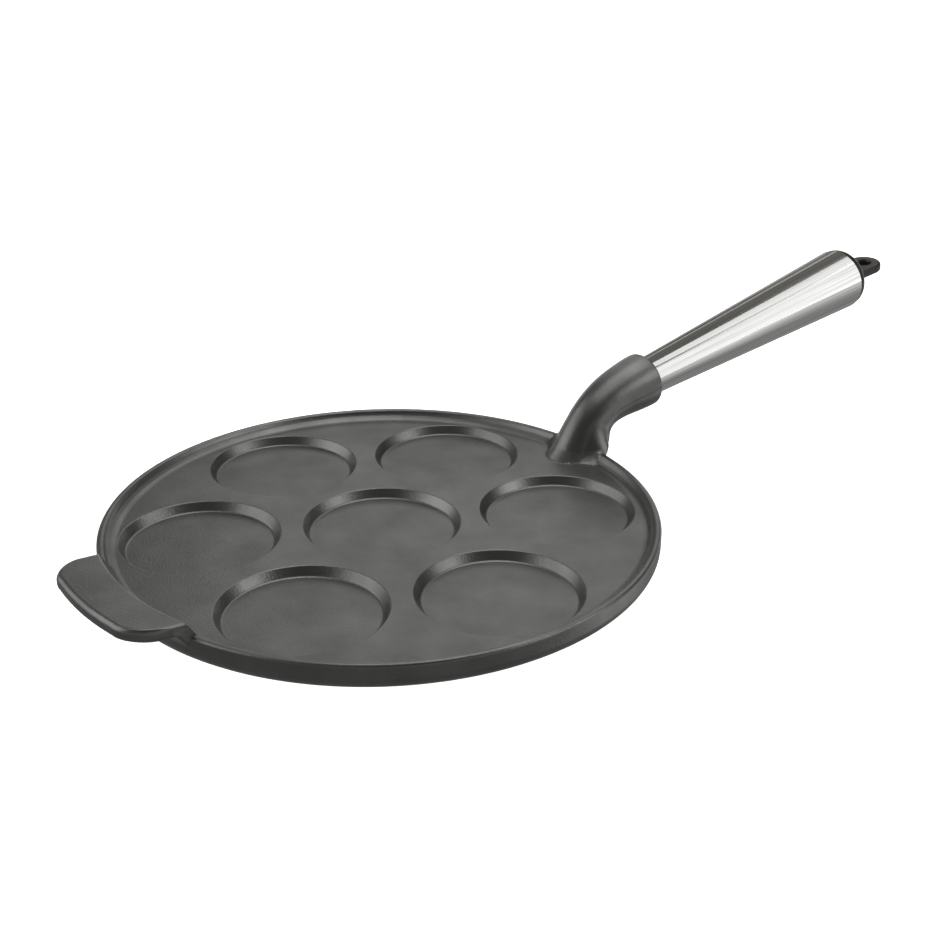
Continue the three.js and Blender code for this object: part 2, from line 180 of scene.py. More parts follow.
cutters = bmesh.new()
rounded_chain(cutters, [
    (0, WELL_FLOOR, 0), (WELL_RADIUS - WELL_LEAN, WELL_FLOOR, WELL_FOOT_ROUND),
    (WELL_RADIUS, PLATE_TOP + CUTTER_LIFT, WELL_EDGE_ROUND),
    (WELL_RADIUS + CUTTER_BORDER, PLATE_TOP + CUTTER_LIFT, 0),
    (WELL_RADIUS + CUTTER_BORDER, PLATE_TOP + CUTTER_TOP, 0), (0, PLATE_TOP + CUTTER_TOP, 0)], segments=8)
spun(cutters, steps=180)
middle_well = cutters.verts[:] + cutters.edges[:] + cutters.faces[:]
for index in range(360 // WELL_TURN):
    angle = radians(WELL_TURN * (index + 0.5))
    copied = verts_of(bmesh.ops.duplicate(cutters, geom=middle_well)["geom"])
    bmesh.ops.translate(cutters, verts=copied, vec=Vector((cos(angle), sin(angle), 0)) * WELL_PITCH * MM)
casting = combined(plate, cutters, "DIFFERENCE")
print("plate with wells", len(casting.faces), "faces")

# %% [markdown]
# ## Helper tab
#
# A second hand holds the pan by a tab opposite the handle. It grows out of the rim, leans up a little and
# ends in a rounded outline with a full, soft edge. A grid is wrapped round it: one direction of the grid
# follows a slice through the rim, the other goes across the tab. The top is a plain bare face.

# %% Slices of the tab
TAB_HALF_WIDTH = 33.8
TAB_CORNER_START = 19.8
TAB_REACH = 18.8
TAB_SIDE_REACH = 5.4
TAB_STEP = 5.8
TAB_THICKNESS = 5.2
TAB_RISE = tan(radians(5.7))
TAB_ROOT_LEVEL = 3.2
TAB_ROOT_IN, TAB_ROOT_OUT = 8, 4
TAB_TOP_ROUND, TAB_LIP_ROUND, TAB_UNDER_ROUND, TAB_ROOT_ROUND = 1.6, 2.4, 1.6, 4
HIDDEN_ROUND = 0.1
TAB_END_INSET, TAB_END_POWER = 0.8, 40


def tab_slice(across):
    """The corners (x outwards, z, radius) of the slice at a distance across from the tab's middle."""
    inset = TAB_END_INSET * (abs(across) / TAB_HALF_WIDTH) ** TAB_END_POWER
    rim_at = sqrt(RIM_RADIUS ** 2 - across ** 2)
    into_corner = max(abs(across) - TAB_CORNER_START, 0) / (TAB_HALF_WIDTH - TAB_CORNER_START)
    edge = sqrt((RIM_RADIUS + TAB_REACH) ** 2 - min(abs(across), TAB_CORNER_START) ** 2)
    side = sqrt(RIM_RADIUS ** 2 - TAB_HALF_WIDTH ** 2) + TAB_SIDE_REACH
    reach = side + (edge - side) * sqrt(max(1 - into_corner ** 2, 0)) - inset
    root_at = min(rim_at + TAB_ROOT_OUT, (rim_at + reach) / 2)
    top_at_rim = RIM_TOP + TAB_STEP - inset
    top_at_edge = top_at_rim + TAB_RISE * (reach - rim_at)
    under = TAB_THICKNESS - 2 * inset
    return [
        (rim_at - TAB_ROOT_IN, TAB_ROOT_LEVEL, HIDDEN_ROUND), (rim_at, top_at_rim, TAB_TOP_ROUND),
        (reach, top_at_edge, TAB_LIP_ROUND), (reach, top_at_edge - under, TAB_UNDER_ROUND),
        (root_at, top_at_rim + TAB_RISE * (root_at - rim_at) - under, TAB_ROOT_ROUND),
        (rim_at - RIM_CREST, TAB_ROOT_LEVEL, HIDDEN_ROUND)]


print("the tab's edge is", round(tab_slice(0)[2][0] - RIM_RADIUS, 1), "mm out from the rim at its middle")

# %% Helper tab
TAB_ROWS = 80
ARC_STEPS = 8
MOST_OF_A_RUN = 0.48


def wrapped_grid(around, along, place):
    """Bend a flat grid into a closed tube: place(around, along) gives each point, from 0 to 1 both ways."""
    bm = bmesh.new()
    bmesh.ops.create_grid(bm, x_segments=around, y_segments=along, size=0.5)
    for vert in bm.verts:
        vert.co = place((vert.co.x + 0.5) % 1, vert.co.y + 0.5) * MM
    bmesh.ops.remove_doubles(bm, verts=bm.verts, dist=SAME_PLACE)
    bmesh.ops.holes_fill(bm, edges=[edge for edge in bm.edges if edge.is_boundary])
    bmesh.ops.recalc_face_normals(bm, faces=bm.faces)
    return bm


def rounded_corner(before, corner, after, radius, share):
    """The point at a share of the way along the arc that rounds a corner between two runs."""
    to_before, to_after = before - corner, after - corner
    half = to_before.angle(to_after) / 2
    run = min(radius / tan(half), MOST_OF_A_RUN * to_before.length, MOST_OF_A_RUN * to_after.length)
    centre = corner + (to_before.normalized() + to_after.normalized()).normalized() * run / cos(half)
    start, end = corner + to_before.normalized() * run, corner + to_after.normalized() * run
    return centre + (start - centre).slerp(end - centre, share) * (start - centre).length


def tab_point(around, along):
    """A point of the tab. Every corner of a slice has an arc with the same number of steps."""
    across = TAB_HALF_WIDTH * sin((along - 0.5) * pi)
    corners = tab_slice(across)
    index, step = divmod(round(around * len(corners) * (ARC_STEPS + 1)), ARC_STEPS + 1)
    before, corner, after = (Vector(corners[(index + turn) % len(corners)][:2]) for turn in (-1, 0, 1))
    radius = corners[index % len(corners)][2]
    x, z = rounded_corner(before, corner, after, radius, step / ARC_STEPS)
    return Vector((-x, across, z))


tab = wrapped_grid(len(tab_slice(0)) * (ARC_STEPS + 1), TAB_ROWS, tab_point)
print("tab", len(tab.faces), "faces")
casting = combined(casting, tab, "UNION")

# %% [markdown]
# ## Neck
#
# The neck carries the handle. It rises steeply from a foot that spreads over the rim onto the plate,
# bends outwards and ends in a round socket with a rounded mouth. Along its two sides runs a fine raised
# line, where the two halves of the sand mould met. The same grid is wrapped round a middle line: up the
# foot, round the bend and then straight along the handle.

# %% Middle line of the neck
SLOPE = radians(7.8)
HANDLE_AXIS = Vector((cos(SLOPE), 0, sin(SLOPE)))
MOUTH = Vector((154.2, 0, 32.5))
MOUTH_ROUND = 1.4
SOCKET_RADIUS = 12.8
SOCKET_RUN = 13
STEM_FOOT = Vector((118.4, 0, 12.1))
STEM_START = 1.5
STEM_RIDGE, STEM_BACK, STEM_SIDE = 8.6, 10.6, 9.8
FOOT_SINK = 2.5
BELLY_TUCK = STEM_FOOT.x + STEM_BACK - (RIM_RADIUS - FOOT_SINK)
BEND_PULL = 13
BEND_SHARE = 0.76
RIDGE_FLARE = {"reach": 14.4, "height": 20, "power": 1.6}
FOOT_ROWS, BEND_ROWS, RUN_ROWS, MOUTH_ROWS = 16, 34, 12, 8
NECK_ROWS = FOOT_ROWS + BEND_ROWS + RUN_ROWS + MOUTH_ROWS


def clamped(value):
    return min(max(value, 0), 1)


def flare(level, reach, height, power):
    """How much of a spread at the plate is left at a level above it."""
    return reach * clamped(1 - (level - PLATE_TOP) / height) ** power


def neck_row(row):
    """Middle, direction and half sizes (towards the plate, away from it, sideways) of one slice."""
    if row < FOOT_ROWS:
        share = row / FOOT_ROWS
        tuck = BELLY_TUCK * (1 - sin(share * pi / 2))
        centre = Vector((STEM_FOOT.x - tuck, 0, STEM_START + (STEM_FOOT.z - STEM_START) * share))
        ridge = STEM_RIDGE + flare(centre.z, **RIDGE_FLARE) - tuck
        return centre, Vector((0, 0, 1)), ridge, STEM_BACK, STEM_SIDE
    row -= FOOT_ROWS
    bend_end = MOUTH - SOCKET_RUN * HANDLE_AXIS
    if row <= BEND_ROWS:
        # A cubic curve that starts upright and runs out into the handle's line
        share, left = row / BEND_ROWS, 1 - row / BEND_ROWS
        ends = STEM_FOOT, STEM_FOOT + Vector((0, 0, BEND_PULL)), bend_end - BEND_PULL * HANDLE_AXIS, bend_end
        weights = left ** 3, 3 * left ** 2 * share, 3 * left * share ** 2, share ** 3
        centre = sum((end * weight for end, weight in zip(ends, weights)), Vector())
        steps = [after - before for before, after in zip(ends, ends[1:])]
        along = steps[0] * left ** 2 + steps[1] * 2 * left * share + steps[2] * share ** 2
        way = BEND_SHARE * share
    elif row <= BEND_ROWS + RUN_ROWS:
        share = (row - BEND_ROWS) / RUN_ROWS
        centre, along = bend_end + HANDLE_AXIS * (SOCKET_RUN - MOUTH_ROUND) * share, HANDLE_AXIS
        way = BEND_SHARE + (1 - BEND_SHARE) * share
    else:
        turn = (row - BEND_ROWS - RUN_ROWS) / MOUTH_ROWS * pi / 2
        radius = SOCKET_RADIUS - MOUTH_ROUND * (1 - cos(turn))
        return MOUTH - HANDLE_AXIS * MOUTH_ROUND * (1 - sin(turn)), HANDLE_AXIS, radius, radius, radius
    # The half sizes grow slowly at first and level out at the mouth
    grown = way ** 3 * (4 - 3 * way)
    ridge, back, side = (
        start + (SOCKET_RADIUS - start) * grown for start in (STEM_RIDGE, STEM_BACK, STEM_SIDE))
    return centre, along.normalized(), ridge + flare(centre.z, **RIDGE_FLARE), back, side


line_ends = [[round(value, 1) for value in neck_row(row)[0]] for row in (0, NECK_ROWS)]
print("the neck's middle line runs from", line_ends[0], "to", line_ends[1])

# %% Neck
FOOT_FLARE = {"reach": 3, "height": 12, "power": 1}
FOOT_MIDDLE = 0.5
WEB_FLARE = {"reach": 7, "height": 14, "power": 1.5}
WEB_MIDDLE, WEB_RUN = -0.1, 0.45
WEB_INSET = 0.4
WEB_FREE_HEIGHT = 6
PARTING_LINE = 0.25
PARTING_SPREAD, PARTING_FADE_ROWS = 0.06, 12
NECK_AROUND = 112


def neck_point(around, along):
    """A point of the neck. Up to the plate's top the webs stay inside the wall of the pan."""
    row = round(along * NECK_ROWS)
    centre, direction, ridge, back, side = neck_row(row)
    angle = 2 * pi * around
    outwards = Vector((direction.z, 0, -direction.x))
    point = centre + outwards * cos(angle) * (back if cos(angle) > 0 else ridge)
    foot = flare(centre.z, **FOOT_FLARE) * clamped(FOOT_MIDDLE - cos(angle))
    web = flare(centre.z, **WEB_FLARE) * max(0, 1 - ((cos(angle) - WEB_MIDDLE) / WEB_RUN) ** 2)
    fade = clamped((row - FOOT_ROWS) / PARTING_FADE_ROWS)
    line = PARTING_LINE * max(0, 1 - abs(cos(angle)) / PARTING_SPREAD) * fade
    point.y = (side + foot + web + line) * sin(angle)
    outside = point.x - sqrt((RIM_RADIUS - WEB_INSET) ** 2 - point.y ** 2)
    if abs(point.y) > side and outside > 0:
        free = clamped((point.z - PLATE_TOP) / WEB_FREE_HEIGHT)
        point.x -= outside * (1 - free * free * (3 - 2 * free))
    return point


neck = wrapped_grid(NECK_AROUND, NECK_ROWS, neck_point)
print("neck", len(neck.faces), "faces")
casting = combined(casting, neck, "UNION")

# %% [markdown]
# ## Cast fillets
#
# Molten iron doesn't fill a sharp inner corner, and a moulder rounds them with wax. Every inner corner
# where the neck or the tab meets the plate is found by its angle, and the vertices beside it are smoothed
# a few times, which leaves a narrow hollow of 1 to 2 mm.

# %% Cast fillets
def soften(bm, corners, reach, times):
    """Smooth the vertices that lie within reach of the given edges."""
    seam = list({vert for edge in corners for vert in edge.verts})
    tree = kdtree.KDTree(len(seam))
    for index, vert in enumerate(seam):
        tree.insert(vert.co, index)
    tree.balance()
    near = [vert for vert in bm.verts if tree.find(vert.co)[2] < reach * MM]
    for _ in range(times):
        bmesh.ops.smooth_vert(bm, verts=near, factor=0.5, use_axis_x=True, use_axis_y=True, use_axis_z=True)
    return len(near)


def inner_corners(bm, least):
    """The edges where two faces meet in a hollow of at least this angle."""
    return [
        edge for edge in bm.edges if edge.is_contiguous and edge.calc_face_angle_signed() < -radians(least)]


joints = [
    edge for edge in inner_corners(casting, least=20)
    if abs(edge.verts[0].co.x) > FINE_RINGS_FROM * MM and edge.verts[0].co.z < 2 * RIM_TOP * MM]
print("fillets along", len(joints), "edges,", soften(casting, joints, reach=2, times=5), "vertices smoothed")

# %% [markdown]
# ## Socket
#
# The neck's end takes the sleeve in a counterbore and the tie rod in a deeper hole. Both are drilled
# after casting, so they are cut last, in the handle's own frame: its origin is the middle of the mouth,
# and its Z runs out along the handle.

# %% Socket
COUNTERBORE_RADIUS, COUNTERBORE_DEPTH = 9.4, 6.3
ROD_HOLE_RADIUS, ROD_HOLE_DEPTH = 4.3, 21.3
BROKEN_EDGE = 0.6
DRILL_OUT = 2

to_handle = Matrix.Translation(MOUTH * MM) @ Matrix.Rotation(pi / 2 - SLOPE, 4, "Y")
drill = bmesh.new()
rounded_chain(drill, [
    (0, -ROD_HOLE_DEPTH, 0), (ROD_HOLE_RADIUS, -ROD_HOLE_DEPTH, 0), (ROD_HOLE_RADIUS, -COUNTERBORE_DEPTH, 0),
    (COUNTERBORE_RADIUS, -COUNTERBORE_DEPTH, 0), (COUNTERBORE_RADIUS, -BROKEN_EDGE / 2, BROKEN_EDGE / 2),
    (COUNTERBORE_RADIUS + BROKEN_EDGE, BROKEN_EDGE / 2, 0),
    (COUNTERBORE_RADIUS + BROKEN_EDGE, DRILL_OUT, 0), (0, DRILL_OUT, 0)], segments=4)
spun(drill, steps=128)
bmesh.ops.transform(drill, matrix=to_handle, verts=drill.verts)
casting = combined(casting, drill, "DIFFERENCE")
print("casting with its socket", len(casting.faces), "faces")

# %% Finished casting
def finished(name, bm, cad_node, sharp):
    """Clean a mesh, put it in the scene as a piece that stands for a CAD node, and smooth its shading."""
    bmesh.ops.remove_doubles(bm, verts=bm.verts, dist=SAME_PLACE)
    bmesh.ops.recalc_face_normals(bm, faces=bm.faces)
    open_edges = sum(not edge.is_manifold for edge in bm.edges)
    data = bpy.data.meshes.new(name)
    bm.to_mesh(data)
    bm.free()
    data.shade_smooth()
    data.set_sharp_from_angle(angle=radians(sharp))
    piece = bpy.data.objects.new(name, data)
    bpy.context.scene.collection.objects.link(piece)
    piece.modifiers.new("weighted_normals", "WEIGHTED_NORMAL").keep_sharp = True
    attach(piece, "root")
    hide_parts(cad_node)
    triangles = sum(len(polygon.vertices) - 2 for polygon in data.polygons)
    print(name, triangles, "triangles,", open_edges, "open edges")
    return piece


pan = finished("pan_casting_fine", casting, "pan_casting", sharp=35)

# %% [markdown]
# ## Handle sleeve
#
# The sleeve is a tapered tube of thin steel, widest at the cap. Its wall is drawn as a closed outline and
# spun about the handle's line. The small radius on both ends is the broken edge that a cut tube gets.

# %% Handle sleeve
SLEEVE_LENGTH = 146.5
SLEEVE_SEAT = -6
SLEEVE_WALL = 1.2
SLEEVE_NARROW, SLEEVE_WIDE = 9.1, 15.7
SLEEVE_EDGE = 0.4


def sleeve_radius(along):
    return SLEEVE_NARROW + (SLEEVE_WIDE - SLEEVE_NARROW) / SLEEVE_LENGTH * along


def inside_sleeve(along, radius):
    return sleeve_radius(along) - SLEEVE_WALL, along, radius


sleeve = bmesh.new()
halfway = inside_sleeve((SLEEVE_LENGTH + SLEEVE_SEAT) / 2, 0)
rounded_chain(sleeve, [
    halfway, inside_sleeve(SLEEVE_SEAT, SLEEVE_EDGE), (sleeve_radius(SLEEVE_SEAT), SLEEVE_SEAT, SLEEVE_EDGE),
    (SLEEVE_WIDE, SLEEVE_LENGTH, SLEEVE_EDGE), inside_sleeve(SLEEVE_LENGTH, SLEEVE_EDGE), halfway],
    segments=4)
spun(sleeve, steps=160)
bmesh.ops.transform(sleeve, matrix=to_handle, verts=sleeve.verts)
tube = finished("handle_sleeve_fine", sleeve, "handle_sleeve", sharp=40)

# %% [markdown]
# ## End cap and hanging eye
#
# The cap closes the wide end with a spigot and a low dome, and ends in a flat eye for a hook. The cap is
# spun, with a flattened quarter turn as its dome. The eye starts as a disc that is cut in half. Its
# straight edge is drawn out towards the cap, and the flat shape is thickened, bevelled and bored. Both
# are one casting, so they are joined and the corner between them is smoothed.

# %% End cap
FIT_GAP = 0.3
CAP_SEAT = SLEEVE_LENGTH + FIT_GAP
CAP_RADIUS = 15.3
CAP_EDGE = 1.2
CAP_EDGE_ROUND = 0.3
DOME_HEIGHT = 7.3
SPIGOT_LENGTH = 10
SPIGOT_END = CAP_SEAT - SPIGOT_LENGTH
SPIGOT_INSET = SLEEVE_WALL + FIT_GAP
SPIGOT_ROUND = 0.5
ROD_POCKET_DEPTH = 3
ROD_POCKET = CAP_SEAT + ROD_POCKET_DEPTH
NEARLY_SAME_PLACE = 1e-6  # in metres

cap = bmesh.new()
dome_start = cap.verts.new((CAP_RADIUS * MM, 0, 0))
bmesh.ops.spin(
    cap, geom=[dome_start], cent=(0, 0, 0), axis=(0, 1, 0), angle=-pi / 2, steps=24, use_merge=False,
    use_duplicate=False)
bmesh.ops.scale(cap, vec=(1, 1, DOME_HEIGHT / CAP_RADIUS), verts=cap.verts)
bmesh.ops.translate(cap, vec=(0, 0, (CAP_SEAT + CAP_EDGE) * MM), verts=cap.verts)
rounded_chain(cap, [
    (0, ROD_POCKET, 0), (ROD_HOLE_RADIUS, ROD_POCKET, 0), (ROD_HOLE_RADIUS, SPIGOT_END, 0),
    (sleeve_radius(SPIGOT_END) - SPIGOT_INSET, SPIGOT_END, SPIGOT_ROUND),
    (SLEEVE_WIDE - SPIGOT_INSET, CAP_SEAT, 0), (CAP_RADIUS, CAP_SEAT, CAP_EDGE_ROUND),
    (CAP_RADIUS, CAP_SEAT + CAP_EDGE, 0)], segments=4)
bmesh.ops.remove_doubles(cap, verts=cap.verts, dist=NEARLY_SAME_PLACE)
spun(cap, steps=128)
print("cap", len(cap.faces), "faces")

# %% Hanging eye
EYE_CENTRE = 168.7
EYE_RADIUS = 9
EYE_ROOT = 151
EYE_ROOT_HALF = 7.4
EYE_THICKNESS = 4.2
EYE_EDGE_ROUND = 1.2
EYE_BORE = 3.6
EYE_BORE_ROUND = 1.6
EYE_BORE_FLARE = 2.9
SQUARE_CORNER = 60

eye = bmesh.new()
on_edge = Matrix.Rotation(pi / 2, 4, "Y")
bmesh.ops.create_circle(
    eye, cap_ends=True, segments=96, radius=EYE_RADIUS * MM,
    matrix=Matrix.Translation((EYE_THICKNESS / 2 * MM, 0, EYE_CENTRE * MM)) @ on_edge)
cut = bmesh.ops.bisect_plane(
    eye, geom=eye.verts[:] + eye.edges[:] + eye.faces[:], plane_co=(0, 0, EYE_CENTRE * MM),
    plane_no=(0, 0, 1), clear_inner=True, dist=NEARLY_SAME_PLACE)["geom_cut"]
straight_edge = [element for element in cut if isinstance(element, bmesh.types.BMEdge)]
drawn_out = verts_of(bmesh.ops.extrude_edge_only(eye, edges=straight_edge)["geom"])
bmesh.ops.scale(eye, vec=(1, EYE_ROOT_HALF / EYE_RADIUS, 1), verts=drawn_out)
bmesh.ops.translate(eye, vec=(0, 0, (EYE_ROOT - EYE_CENTRE) * MM), verts=drawn_out)
bmesh.ops.dissolve_edges(eye, edges=straight_edge, use_verts=False)
thick = verts_of(bmesh.ops.extrude_face_region(eye, geom=eye.faces[:], use_keep_orig=True)["geom"])
bmesh.ops.translate(eye, vec=(-EYE_THICKNESS * MM, 0, 0), verts=thick)
bmesh.ops.recalc_face_normals(eye, faces=eye.faces)
outline = [
    edge for edge in eye.edges if edge.calc_face_angle() > radians(SQUARE_CORNER)
    and abs(edge.verts[0].co.x - edge.verts[1].co.x) < NEARLY_SAME_PLACE]
bmesh.ops.bevel(
    eye, geom=outline, offset=EYE_EDGE_ROUND * MM, affect="EDGES", segments=5, profile=0.5, material=-1)

bore = bmesh.new()
mouth_wide, mouth_out = EYE_BORE + EYE_BORE_FLARE, EYE_THICKNESS
rounded_chain(bore, [
    (0, -mouth_out, 0), (mouth_wide, -mouth_out, 0), (EYE_BORE, EYE_BORE_FLARE - mouth_out, EYE_BORE_ROUND),
    (EYE_BORE, mouth_out - EYE_BORE_FLARE, EYE_BORE_ROUND), (mouth_wide, mouth_out, 0), (0, mouth_out, 0)],
    segments=6)
spun(bore, steps=64)
bmesh.ops.transform(bore, matrix=Matrix.Translation((0, 0, EYE_CENTRE * MM)) @ on_edge, verts=bore.verts)
eye = combined(eye, bore, "DIFFERENCE")
cap = combined(cap, eye, "UNION")
eye_joint = [
    edge for edge in inner_corners(cap, least=20) if edge.verts[0].co.z > (CAP_SEAT + CAP_EDGE) * MM]
print("eye joint", len(eye_joint), "edges,", soften(cap, eye_joint, reach=0.8, times=3), "vertices smoothed")
bmesh.ops.transform(cap, matrix=to_handle, verts=cap.verts)
knob = finished("end_cap_eye_fine", cap, "end_cap_eye", sharp=35)

# %% [markdown]
# ## Finishes
#
# All four finishes are bare or plated metals, so their look is what they mirror: a dark or light base
# colour, how much the surface scatters, and its fine relief. Three short helpers serve all of them.
# Patterns use the piece's own coordinates in metres, and a noise with a scale of 1000 has a grain of
# about 1 mm.

# %% Helpers for the finishes
def hex_to_linear(code):
    """An sRGB hex colour as linear values with alpha."""
    values = [int(code[index:index + 2], 16) / 255 for index in (1, 3, 5)]
    return [value / 12.92 if value <= 0.04045 else ((value + 0.055) / 1.055) ** 2.4 for value in values] + [1]


def node(tree, kind, inputs=None, **settings):
    """Add a node with its settings. Each input is a value, or the socket that is linked to it."""
    made = tree.nodes.new(kind)
    for name, value in settings.items():
        setattr(made, name, value)
    for name, value in (inputs or {}).items():
        if isinstance(value, bpy.types.NodeSocket):
            tree.links.new(value, made.inputs[name])
        else:
            made.inputs[name].default_value = value
    return made


def metal(name, roughness):
    """A new metal: the material, its node tree, its shader and the piece's own coordinates."""
    material = bpy.data.materials.new(name)
    material.use_nodes = True
    tree = material.node_tree
    shader = tree.nodes["Principled BSDF"]
    shader.inputs["Metallic"].default_value = 1
    shader.inputs["Roughness"].default_value = roughness
    return material, tree, shader, node(tree, "ShaderNodeTexCoord").outputs["Object"]


middle_grey = [round(value, 3) for value in hex_to_linear("#808080")]
print("white is", hex_to_linear("#ffffff"), "and a middle grey", middle_grey)

# %% [markdown]
# ## Cast iron
#
# Grey iron, sand cast, ground lightly and oiled. It is a dark, slightly warm metal with a satin gloss, so
# walls that mirror the dark part of the room go nearly black and rounded edges catch a soft light. The
# oil lies unevenly, in patches of 20 mm or so that differ a little in tone and gloss. The sand leaves a
# grain. Its real size is 0.3 mm, which is less than a pixel here, so it is drawn at 0.9 mm to show.

# %% Cast iron
OIL_PATCH = 20
SAND_GRAIN = 0.9
MOST_OF_NOISE = {"From Min": 0.3, "From Max": 0.7}
FACTOR, COLOUR_A, COLOUR_B, MIXED_COLOUR = 0, 6, 7, 2  # a Mix node's sockets for colours

iron, tree, shader, place = metal("satin_cast_iron", roughness=0.36)
noise = node(tree, "ShaderNodeTexNoise", {"Vector": place, "Scale": 1 / (OIL_PATCH * MM), "Detail": 4})
oil = node(tree, "ShaderNodeMapRange", {"Value": noise.outputs["Fac"], **MOST_OF_NOISE}).outputs["Result"]
sand = node(tree, "ShaderNodeTexNoise", {"Vector": place, "Scale": 1 / (SAND_GRAIN * MM), "Detail": 2})
tone = node(tree, "ShaderNodeMix", {
    FACTOR: oil, COLOUR_A: hex_to_linear("#595957"), COLOUR_B: hex_to_linear("#666664")}, data_type="RGBA")
gloss = node(tree, "ShaderNodeMapRange", {"Value": oil, "To Min": 0.4, "To Max": 0.34})
relief = node(tree, "ShaderNodeBump", {
    "Height": sand.outputs["Fac"], "Strength": 0.45, "Distance": 0.2 * MM})
tree.links.new(tone.outputs[MIXED_COLOUR], shader.inputs["Base Color"])
tree.links.new(gloss.outputs["Result"], shader.inputs["Roughness"])
tree.links.new(relief.outputs["Normal"], shader.inputs["Normal"])
pan.data.materials.append(iron)
print(iron.name, "with", len(tree.nodes), "nodes")

# %% [markdown]
# ## Polished steel
#
# Stainless steel tube, polished along its length on a belt. It mirrors the softboxes as long white bands
# with dark ones between them, and the belt leaves fine streaks from end to end. Streaks on a tapered tube
# run towards each other at the narrow end, so the pattern is laid out by the direction away from the
# handle's line and not by the distance from it. A streak is about 0.6 mm wide, drawn three times as
# coarse as a real one, and runs for half the handle.

# %% Polished steel
STREAK_WIDTH = 0.6
STREAK_LENGTH = 80

steel, tree, shader, place = metal("polished_steel", roughness=0.16)
in_handle = node(tree, "ShaderNodeMapping", {
    "Vector": place, "Location": MOUTH * MM, "Rotation": (0, -SLOPE, 0)},
    vector_type="TEXTURE").outputs["Vector"]
across = node(tree, "ShaderNodeVectorMath", {0: in_handle, 1: (0, 1, 1)}, operation="MULTIPLY")
outwards = node(tree, "ShaderNodeVectorMath", {0: across.outputs["Vector"]}, operation="NORMALIZE")
round_handle = node(tree, "ShaderNodeVectorMath", {
    0: outwards.outputs["Vector"], "Scale": SLEEVE_WIDE / STREAK_WIDTH}, operation="SCALE")
streak_place = node(tree, "ShaderNodeVectorMath", {
    0: in_handle, 1: (1 / (STREAK_LENGTH * MM), 0, 0), 2: round_handle.outputs["Vector"]},
    operation="MULTIPLY_ADD")
noise = node(tree, "ShaderNodeTexNoise", {"Vector": streak_place.outputs["Vector"], "Scale": 1, "Detail": 3})
streaks = node(tree, "ShaderNodeMapRange", {"Value": noise.outputs["Fac"], **MOST_OF_NOISE}).outputs["Result"]
tone = node(tree, "ShaderNodeMix", {
    FACTOR: streaks, COLOUR_A: hex_to_linear("#b2b2b0"), COLOUR_B: hex_to_linear("#d7d7d5")},
    data_type="RGBA")
gloss = node(tree, "ShaderNodeMapRange", {"Value": streaks, "To Min": 0.1, "To Max": 0.2})
relief = node(tree, "ShaderNodeBump", {"Height": streaks, "Strength": 0.4, "Distance": 0.012 * MM})
tree.links.new(tone.outputs[MIXED_COLOUR], shader.inputs["Base Color"])
tree.links.new(gloss.outputs["Result"], shader.inputs["Roughness"])
tree.links.new(relief.outputs["Normal"], shader.inputs["Normal"])
tube.data.materials.append(steel)
print(steel.name, "with", len(tree.nodes), "nodes")

# %% [markdown]
# ## Blackened iron
#
# The cap and its eye are small iron castings, blackened in hot oil. They are darker and browner than the
# pan and a little duller, with the same sand grain under the black.

# %% Blackened iron
black, tree, shader, place = metal("blackened_iron", roughness=0.42)
noise = node(tree, "ShaderNodeTexNoise", {"Vector": place, "Scale": 1 / (SAND_GRAIN * MM), "Detail": 3})
grain = node(tree, "ShaderNodeMapRange", {"Value": noise.outputs["Fac"], **MOST_OF_NOISE}).outputs["Result"]
tone = node(tree, "ShaderNodeMix", {
    FACTOR: grain, COLOUR_A: hex_to_linear("#2f2d2a"), COLOUR_B: hex_to_linear("#3a3834")}, data_type="RGBA")
relief = node(tree, "ShaderNodeBump", {"Height": grain, "Strength": 0.7, "Distance": 0.08 * MM})
tree.links.new(tone.outputs[MIXED_COLOUR], shader.inputs["Base Color"])
tree.links.new(relief.outputs["Normal"], shader.inputs["Normal"])
knob.data.materials.append(black)
print(black.name, "with", len(tree.nodes), "nodes")

# %% [markdown]
# ## Zinc-plated steel
#
# The tie rod is a plain threaded rod, zinc plated: pale, bluish and a little dull. Its CAD solid has the
# right shape at the rod's size, so it stays, and the thread is drawn as bands across it, 1.25 mm apart:
# a bump for its relief, with painted shade as darker colour in its roots and painted light as lighter
# colour on its crests. A wave of scale 1 repeats each pi/10, which gives the scale for that spacing.

# %% Zinc-plated steel
THREAD_PITCH = 1.25

zinc, tree, shader, place = metal("zinc_plated_steel", roughness=0.35)
along_rod = node(tree, "ShaderNodeMapping", {
    "Vector": place, "Rotation": (0, -SLOPE, 0)}, vector_type="TEXTURE").outputs["Vector"]
thread_and_painted_shade = node(tree, "ShaderNodeTexWave", {
    "Vector": along_rod, "Scale": pi / 10 / (THREAD_PITCH * MM)}).outputs["Fac"]
# The darker colour in the thread's roots is painted shade, and the lighter colour on its crests is painted
# light
tone = node(tree, "ShaderNodeMix", {
    FACTOR: thread_and_painted_shade, COLOUR_A: hex_to_linear("#8f9499"), COLOUR_B: hex_to_linear("#bcc0c4")}, data_type="RGBA")
relief = node(tree, "ShaderNodeBump", {"Height": thread_and_painted_shade, "Strength": 0.8, "Distance": 0.6 * MM})
tree.links.new(tone.outputs[MIXED_COLOUR], shader.inputs["Base Color"])
tree.links.new(relief.outputs["Normal"], shader.inputs["Normal"])
rod_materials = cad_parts["tie_rod"].data.materials
rod_materials.clear()
rod_materials.append(zinc)
print(zinc.name, "on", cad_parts["tie_rod"].name)

# %% [markdown]
# ## Studio
#
# A product table in a round cove of white paper, with soft light. The cove is one outline, floor and wall
# with a wide bend between them, spun about the pan's axis. The paper glows, so it stays white right up to
# the pan and from all sides. The glow isn't sampled as a lamp, because so large a lamp would only make
# the render slower. The floor lies just under the base and is clear from below, so the underside can be
# looked at, and it casts no shadow. The metals don't mirror the paper: they see a grey room instead, as
# on a table with a narrow sheet, and that room has a light floor on the right, which darkens downwards.

# %% Paper cove
COVE_RADIUS = 5000
COVE_HEIGHT = 4000
COVE_BEND = 2000
COVE_FLOOR = -0.2

